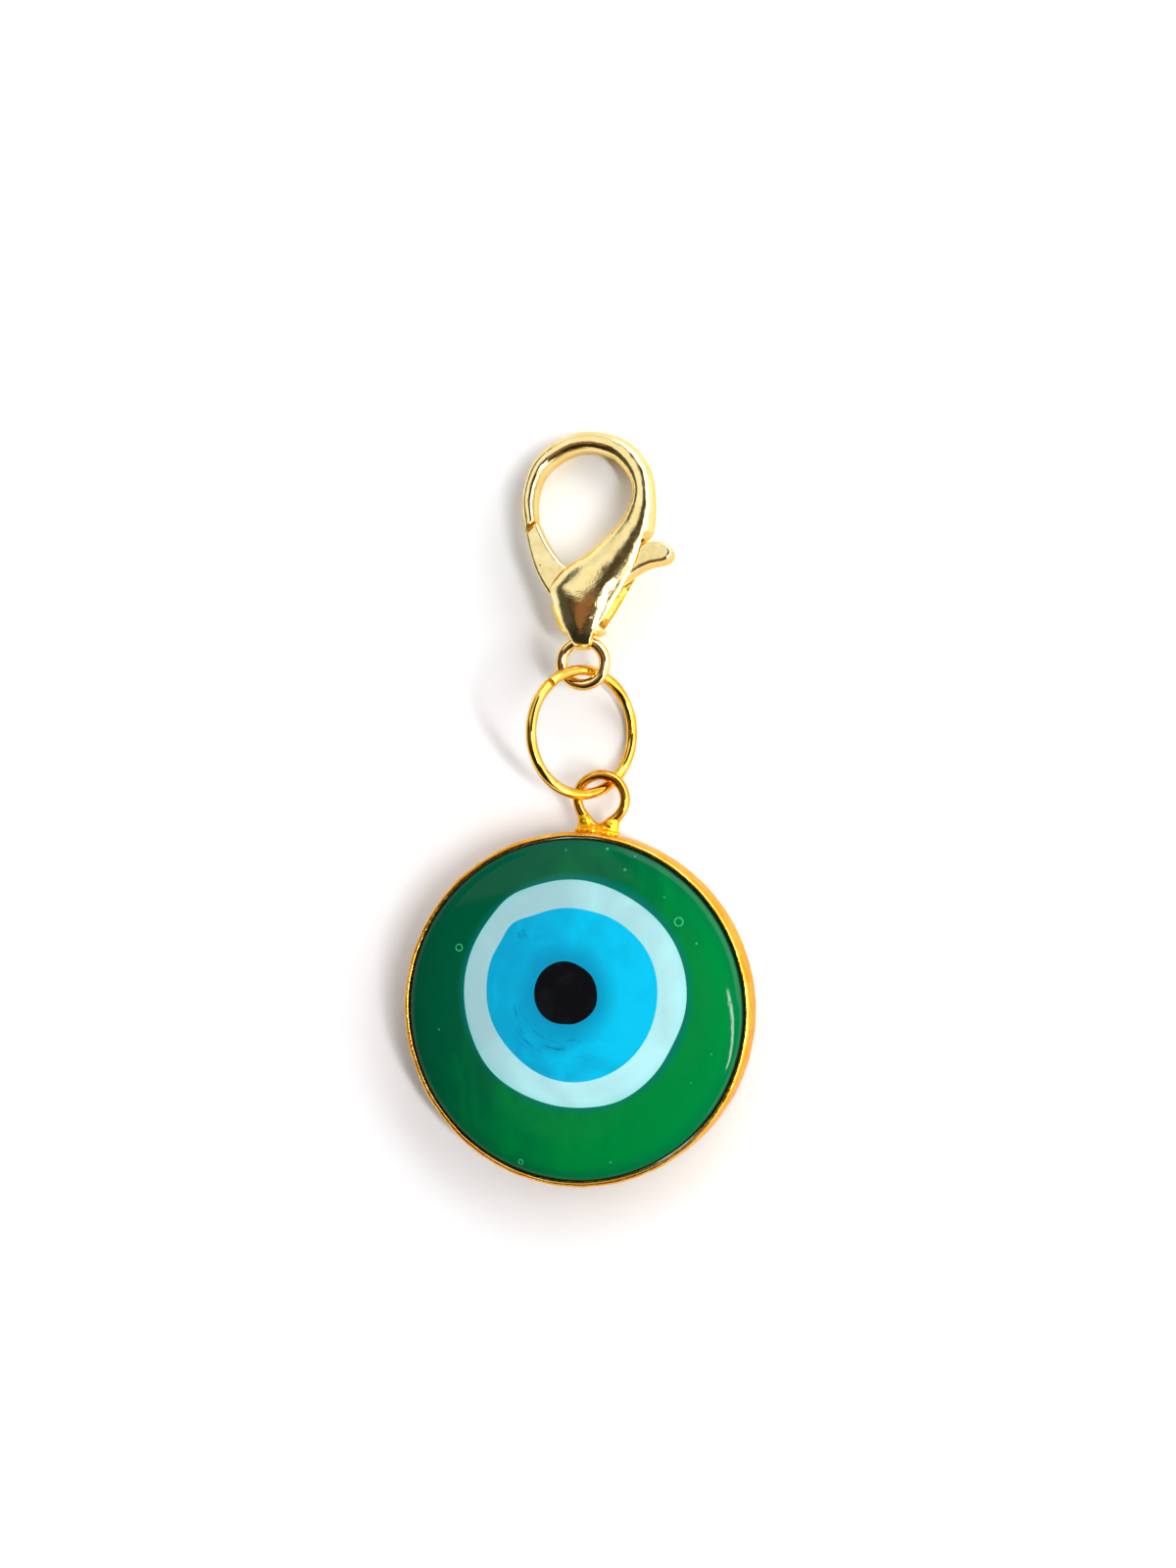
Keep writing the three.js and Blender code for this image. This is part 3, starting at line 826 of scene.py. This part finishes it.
def bubbles():
    """Small bubbles that broke the glass's face: the wide ones left rings, the narrow ones dots."""
    parts = []
    for x, y, radius in BUBBLES:
        wall = radius * (RING_WALL if radius > RING_BUBBLE else DOT_WALL)
        reach = radius - wall
        rings = []
        for a in around(BUBBLE_STEPS):
            out = Vector((math.cos(a), math.sin(a), 0))
            crest = on_dome(Vector((x, y, 0)) + out * reach, wall * 0.3)
            rings.append([
                crest + out * (wall * math.cos(b)) + UP * (0.8 * wall * math.sin(b))
                for b in around(BUBBLE_SIDES)
            ])
        parts.append(skin("bubble", rings, closed=True))
    made = joined("glass_bubbles", parts)
    finished(made, PENDANT, bubble_glass(), "pendant")


green_piece()
spot_piece("white_glass", WHITE, BLUE, 6, white_glass(), "glass_white")
spot_piece("blue_glass", BLUE, PUPIL, 10, blue_glass(), "glass_blue")
spot_piece("pupil_glass", PUPIL, None, 8, black_glass(), "glass_pupil")
bubbles()

# ---- Strip -------------------------------------------------------------------------

STRIP_STEPS = 420


def strip_profile(angle):
    """The strip's section at an angle: a hand-rolled lip, a little uneven round the glass."""
    ripple = noise.noise(Vector((math.cos(angle) * 2.4, math.sin(angle) * 2.4, 0.3)))
    small = noise.noise(Vector((math.cos(angle) * 9, math.sin(angle) * 9, 2.3)))
    lip = STRIP_INSIDE - 0.02 + 0.05 * ripple + 0.03 * small
    top = STRIP_TOP - 0.03 + 0.05 * ripple
    outer = STRIP_RADIUS - 0.04 + 0.04 * small
    return [
        (lip + 0.06, STRIP_BOTTOM + 0.7),
        (lip, STRIP_BOTTOM + 0.2),
        (lip + 0.1, STRIP_BOTTOM),
        (outer - 0.2, STRIP_BOTTOM),
        (outer - 0.04, STRIP_BOTTOM + 0.12),
        (outer, STRIP_BOTTOM + 0.45),
        (outer - 0.01, (STRIP_BOTTOM + top) / 2),
        (outer, top - 0.45),
        (outer - 0.04, top - 0.22),
        (outer - 0.15, top - 0.06),
        (outer - 0.28, top),
        (lip + 0.12, top - 0.01),
        (lip + 0.03, top - 0.05),
        (lip, top - 0.14),
        (lip + 0.05, top - 0.4),
    ]


def strip_piece():
    """The brass strip, closed round the glass."""
    rings = []
    for angle in around(STRIP_STEPS):
        section = strip_profile(angle)
        rings.append([Vector((r * math.cos(angle), r * math.sin(angle), z)) for r, z in section])
    made = apply(skin("bezel_strip_brass", rings, closed=True), ("SUBSURF", {"levels": 1}))
    finished(made, PENDANT, STRIP_GOLD, "pendant", ["bezel_strip"])


strip_piece()

# ---- Rings and solder ----------------------------------------------------------------

RING_STEPS = 200
JUMP_STEPS = 260


def ring_tube(name, radius, wire, uneven, seed, dip=None):
    """A closed ring of wire. A dip is where it is drawn out: its angle, reach and spread in degrees."""

    def section(i):
        angle = 2 * math.pi * i / RING_STEPS
        out = Vector((math.cos(angle), math.sin(angle), 0))
        sway = noise.noise(out * 1.6 + Vector((seed, 0, 0)))
        size = noise.noise(out * 4 + Vector((0, seed, 0)))
        lift = UP * (0.3 * uneven * sway)
        drawn = 0.0
        if dip:
            towards, reach, spread = dip
            away = (math.degrees(angle) - towards + 180) % 360 - 180
            drawn = reach * math.exp(-((away / spread) ** 2))
        centre = out * (radius + drawn + uneven * sway) + lift
        return centre, out, UP, wire * (1 + 0.3 * uneven * size)

    return tube(name, section, RING_STEPS, WIRE_SIDES)


def jump_ring():
    """One turn of wire. Its two cut ends meet with a small step."""
    tilt = Matrix.Rotation(JUMP_TILT, 3, "Y")

    def section(i):
        share = i / (JUMP_STEPS - 1)
        angle = SEAM_ANGLE + SEAM_GAP / 2 + share * (2 * math.pi - SEAM_GAP)
        out = Vector((math.cos(angle), math.sin(angle), 0))
        near_end = min(share, 1 - share) * JUMP_STEPS
        wire = JUMP_WIRE * (1 + 0.012 * noise.noise(out * 3)) * (CUT_END if near_end < 1 else 1.0)
        step = SEAM_STEP * (share - 0.5)
        centre = out * (JUMP_RADIUS + 0.5 * step) + UP * step
        return tilt @ centre, tilt @ out, tilt @ UP, wire

    return tube("jump_ring_wire", section, JUMP_STEPS, WIRE_SIDES, closed=False)


def ball(name, rows=14, sides=28):
    """A sphere of radius 1."""
    rings = [[-UP]]
    for k in range(1, rows):
        fall = math.pi * k / rows
        level = -math.cos(fall) * UP
        rings.append([
            Vector((math.cos(a), math.sin(a), 0)) * math.sin(fall) + level
            for a in around(sides)
        ])
    rings.append([UP])
    return skin(name, rings)


def solder_lump():
    """Solder between the strip and the loop, drawn up both sides of the loop's wire."""
    turn = Matrix.Rotation(-math.atan2(LOOP_IN_PENDANT.x, LOOP_IN_PENDANT.y), 4, "Z")
    blobs = [  # sideways, out from the pendant's centre, up; and half sizes
        ((0.0, 15.1, 3.25), (2.05, 0.42, 0.95)),
        ((0.0, 15.35, 3.1), (1.45, 0.4, 0.8)),
        ((-1.12, 15.7, 3.02), (0.64, 0.8, 0.64)),
        ((1.12, 15.7, 3.02), (0.64, 0.8, 0.64)),
        ((-1.32, 16.05, 3.0), (0.52, 0.62, 0.54)),
        ((1.32, 16.05, 3.0), (0.52, 0.62, 0.54)),
    ]
    parts = []
    for place, sizes in blobs:
        part = ball("blob")
        part.data.transform(turn @ Matrix.Translation(place) @ Matrix.Diagonal((*sizes, 1)))
        parts.append(part)
    lump = cast(joined("solder", parts), SOLDER_VOXEL, smoothing=30)
    roughen(lump, amount=0.1, size=0.7, seed=3)
    return roughen(lump, amount=0.05, size=0.24, seed=5)


to_strip = math.degrees(math.atan2(-LOOP_IN_PENDANT.y, -LOOP_IN_PENDANT.x))
loop = ring_tube(
    "pendant_loop_wire", LOOP_RADIUS, LOOP_WIRE, uneven=0.05, seed=1.7,
    dip=(to_strip, LOOP_DIP, LOOP_DIP_SPREAD),
)
loop_place = flat_place(middle("pendant_loop"))
finished(loop, loop_place, LOOP_GOLD, "pendant", ["pendant_loop"])
finished(solder_lump(), PENDANT, SOLDER_GOLD, "pendant", ["loop_solder"])
link = ring_tube("clasp_ring_wire", CLASP_RING_RADIUS, CLASP_RING_WIRE, uneven=0.02, seed=4.2)
link_place = flat_place(middle("clasp_ring"))
finished(link, link_place, LINK_GOLD, "clasp_ring", ["clasp_ring"])
ring_place = flat_place(middle("jump_ring"))
finished(jump_ring(), ring_place, RING_GOLD, "jump_ring", ["jump_ring"])

# ---- Clasp ---------------------------------------------------------------------------

ACROSS = Matrix.Rotation(math.pi / 2, 4, "Y")  # turns a cutter made along Z to lie along X


def spline(points, share):
    """A point on the smooth curve through points, at a share from 0 to 1."""
    place = share * (len(points) - 1)
    k = min(int(place), len(points) - 2)
    t = place - k
    a, b, c, d = [np.array(points[min(max(k + i, 0), len(points) - 1)]) for i in (-1, 0, 1, 2)]
    leaving = 0.5 * (c - a)
    arriving = 0.5 * (d - b)
    cubic = (2 * b - 2 * c + leaving + arriving) * t ** 3
    square = (3 * c - 3 * b - 2 * leaving - arriving) * t ** 2
    return cubic + square + leaving * t + b


def rounded(value, power):
    """A sine or cosine, bent so that it draws an ellipse for power 2 and a boxier oval above that."""
    return math.copysign(abs(value) ** (2 / power), value)


def bar():
    """The clasp's body before it is cut: a rounded section carried from the hook to the tail."""
    rings = []
    for k in range(BODY_STEPS + 1):
        share = k / BODY_STEPS
        outer = spline([station[0] for station in BODY], share)
        inner = spline([station[1] for station in BODY], share)
        half, power = spline([station[2:] for station in BODY], share)
        ring = []
        for a in around(BODY_SIDES):
            across = rounded(math.cos(a), power) / 2
            x, y = (outer + inner) / 2 + (inner - outer) * across
            ring.append(Vector((x, y, half * rounded(math.sin(a), power))))
        rings.append(ring)
    ends = [[sum(ring, Vector()) / BODY_SIDES] for ring in (rings[0], rings[-1])]
    return skin("clasp_body_cast", [ends[0], *rings, ends[1]])


def prism(points, half):
    """An outline in x and y, thickened to both sides."""
    low = [Vector((x, y, -half)) for x, y in points]
    high = [Vector((x, y, half)) for x, y in points]
    count = len(points)
    ends = [list(range(count)), list(range(count, 2 * count))]
    sides = [[i, (i + 1) % count, (i + 1) % count + count, i + count] for i in range(count)]
    return new_object("prism", [*low, *high], [*ends, *sides])


def turned(name, profile, sides=64):
    """A profile of (radius, height) turned about Z, with a pole at each end."""
    rings = [[Vector((0, 0, profile[0][1]))]]
    for radius, height in profile:
        rings.append([
            Vector((radius * math.cos(a), radius * math.sin(a), height))
            for a in around(sides)
        ])
    rings.append([Vector((0, 0, profile[-1][1]))])
    return skin(name, rings)


def round_hole(radius, top):
    """A cutter for a round hole along Z, from below the clasp up to top."""
    return turned("hole", [(radius, -CUT_REACH), (radius, top)])


def tail_flare():
    """The rounded mouth of the tail's hole, which a curved ring can turn in."""
    inside = CLASP_RING_RADIUS - CLASP_RING_WIRE - FLARE_GAP
    profile = [(FLARE_RADIUS, -CUT_REACH)]
    for k in range(-FLARE_STEPS, FLARE_STEPS + 1):
        across = k * FLARE_SPACING
        profile.append((CLASP_RING_RADIUS - math.sqrt(inside ** 2 - across * across), across))
    profile.append((FLARE_RADIUS, CUT_REACH))
    flare = turned("flare", profile)
    flare.data.transform(ACROSS)
    # The mouth widens only below the top of the hole, so that the cheeks keep their metal.
    above = [(-6, TAIL_HOLE), (6, TAIL_HOLE), (6, 30), (-6, 30)]
    cut(flare, prism(above, 6))
    return flare


def clasp_body():
    """The cast body: hook, cheeks and tail, with the slot, the rivet's hole and the ring's hole."""
    body = bar()
    pin_hole = round_hole(PIN_HOLE, PIN_HOLE_TOP)
    pin_hole.data.transform(Matrix.Translation((0, PIN_Y, 0)))
    tail_hole = round_hole(TAIL_HOLE, CUT_REACH)
    tail_hole.data.transform(ACROSS)
    cut(body, prism(SLOT, SLOT_HALF), tail_hole, tail_flare(), pin_hole)
    cast(body, BODY_VOXEL, smoothing=7)
    return roughen(body, amount=0.02, size=0.9, seed=1)


def lever():
    """The gate with its hub and thumb tab, with its edges rounded."""
    made = cast(copy_of("clasp_lever", "clasp_lever_cast"), LEVER_VOXEL, smoothing=12)
    return roughen(made, amount=0.01, size=0.5, seed=2)


def lever_pin():
    """The rivet, with its edges rounded."""
    bevel = {"width": 0.06, "segments": 2, "limit_method": "ANGLE", "angle_limit": math.radians(60)}
    return apply(copy_of("lever_pin", "lever_pin_rivet"), ("BEVEL", bevel), ("SUBSURF", {"levels": 1}))


def lever_spring():
    """The small wire spring that closes the lever."""
    return apply(copy_of("lever_spring", "lever_spring_wire"), ("SUBSURF", {"levels": 2}))


finished(clasp_body(), CLASP, CLASP_GOLD, "clasp_body", ["clasp_body"])
finished(lever(), TO_METRES, LEVER_GOLD, "clasp_lever", ["clasp_lever"])
finished(lever_pin(), TO_METRES, CLASP_GOLD, "clasp_body", ["lever_pin"])
finished(lever_spring(), TO_METRES, spring_steel(), "clasp_body", ["lever_spring"])

# ---- Floor, light and camera -----------------------------------------------------------

# Places and sizes here are in metres.
CAMERA_DISTANCE = 0.235
CAMERA_LEAN = math.radians(13)  # towards the object's right
CAMERA_LENS = 63.55
AIM = Vector((0.8, 2.02, 3.0)) * MM
FLOOR_HALF = 3.0
FLOOR_DROP = 0.00002  # keeps the floor clear of the glass's flat back
DAYLIGHT = (0.96, 0.98, 1.0)
TENT_LIGHT = 0.87
TENT = (1.05, 1.05, 1.05, 1)
BROWN = (0.34, 0.17, 0.1, 1)
# Cards in the tent, later ones in front: azimuth from +X towards +Y, elevation and soft edge in degrees.
CARDS = [
    {"azimuth": (-180, 180), "elevation": (44, 90), "soft": 6, "colour": (0.07, 0.05, 0.03, 1)},
    {"azimuth": (-180, 180), "elevation": (-90, 13), "soft": 3, "colour": (1.2, 1.2, 1.2, 1)},
    {"azimuth": (128, 180), "elevation": (18, 50), "soft": 6, "colour": (0.1, 0.1, 0.09, 1)},
    {"azimuth": (-180, -150), "elevation": (18, 50), "soft": 6, "colour": (0.1, 0.1, 0.09, 1)},
    {"azimuth": (98, 152), "elevation": (42, 71), "soft": 6, "colour": (1.22, 1.22, 1.19, 1)},
    {"azimuth": (-6, 84), "elevation": (17, 41), "soft": 5, "colour": (4.6, 4.6, 4.6, 1)},
    {"azimuth": (-155, -60), "elevation": (18, 58), "soft": 7, "colour": (0.03, 0.03, 0.02, 1)},
    {"azimuth": (-66, -5), "elevation": (34, 58), "soft": 7, "colour": (0.03, 0.03, 0.02, 1)},
    {"azimuth": (-46, 4), "elevation": (5, 24), "soft": 5, "colour": (3.2, 3.2, 3.2, 1)},
    {"azimuth": (-180, 180), "elevation": (80, 90), "soft": 4, "colour": BROWN},
    {"azimuth": (-180, -118), "elevation": (66, 80), "soft": 4, "colour": BROWN},
    {"azimuth": (148, 180), "elevation": (72, 80), "soft": 4, "colour": BROWN},
]
# A slanting strip of small bright cards; each pair is azimuth and elevation.
STREAK_CARDS = 6
STREAK_START = (-3, 63)
STREAK_STEP = (-5, -3.6)
STREAK_HALF = (2.5, 1.5)
STREAK_SOFT = 2
STREAK_LIGHT = (55.0, 55.0, 55.0, 1)


def streak_cards():
    """The cards that make the long highlight on the right of the glass."""
    cards = []
    for k in range(STREAK_CARDS):
        card = {"soft": STREAK_SOFT, "colour": STREAK_LIGHT}
        for i, angle in enumerate(("azimuth", "elevation")):
            centre = STREAK_START[i] + STREAK_STEP[i] * k
            card[angle] = (centre - STREAK_HALF[i], centre + STREAK_HALF[i])
        cards.append(card)
    return cards


def floor():
    """Pale paper, a hair below the object."""
    half = FLOOR_HALF
    corners = [(-half, -half), (half, -half), (half, half), (-half, half)]
    made = new_object("floor", [(x, y, -FLOOR_DROP) for x, y in corners], [[0, 1, 2, 3]])
    material, graph, shader = new_material("floor_paper")
    at = graph.millimetres()
    colour = graph.mix(graph.noise(at, PAPER_CLOUDS, 3.0), PAPER_SHADE, PAPER_LIGHT)
    graph.drive(shader, "Base Color", colour)
    shader.inputs["Roughness"].default_value = 0.9
    shader.inputs["Specular IOR Level"].default_value = 0.1
    made.data.materials.append(material)


def studio():
    """A bright tent with dark and warm cards in it, for the metal to reflect."""
    world = bpy.data.worlds.new("studio")
    world.use_nodes = True
    bpy.context.scene.world = world
    graph = Graph(world.node_tree)
    toward = graph.add("ShaderNodeTexCoord", {}).outputs["Generated"]
    x, y, z = graph.add("ShaderNodeSeparateXYZ", {0: toward}).outputs
    azimuth = graph.math("ARCTAN2", y, x)
    elevation = graph.math("ARCSINE", z)
    colour = TENT
    for card in CARDS + streak_cards():
        side = window(graph, azimuth, card["azimuth"], card["soft"])
        height = window(graph, elevation, card["elevation"], card["soft"])
        colour = graph.mix(graph.times(side, height), colour, card["colour"])
    background = world.node_tree.nodes["Background"]
    world.node_tree.links.new(colour, background.inputs["Color"])
    background.inputs["Strength"].default_value = TENT_LIGHT


def window(graph, angle, span, soft):
    """1 between two angles and 0 away from them, with soft ends; all in degrees but the first."""
    low, high, edge = (math.radians(v) for v in (*span, soft))
    rise = graph.step(angle, low - edge, low)
    fall = graph.step(angle, high, high + edge, start=1.0, end=0.0)
    return graph.times(rise, fall)


def lamp(name, place, size, power):
    """A soft lamp aimed at the object, which shows in no reflection."""
    data = bpy.data.lights.new(name, "AREA")
    data.size = size
    data.energy = power
    data.color = DAYLIGHT
    made = bpy.data.objects.new(name, data)
    bpy.context.scene.collection.objects.link(made)
    made.visible_glossy = False
    made.location = place
    made.rotation_euler = (AIM - Vector(place)).to_track_quat("-Z", "Y").to_euler()


def camera():
    """Straight above the object but for its lean."""
    data = bpy.data.cameras.new("camera")
    data.lens = CAMERA_LENS
    data.clip_start = 0.01
    made = bpy.data.objects.new("camera", data)
    bpy.context.scene.collection.objects.link(made)
    back = Vector((math.sin(CAMERA_LEAN), 0, math.cos(CAMERA_LEAN)))
    made.location = AIM + back * CAMERA_DISTANCE
    made.rotation_euler = (0, CAMERA_LEAN, 0)
    bpy.context.scene.camera = made


floor()
studio()
lamp("key", place=(-0.22, 0.25, 0.38), size=0.25, power=0.2)
camera()
bpy.context.scene.view_settings.view_transform = "Standard"
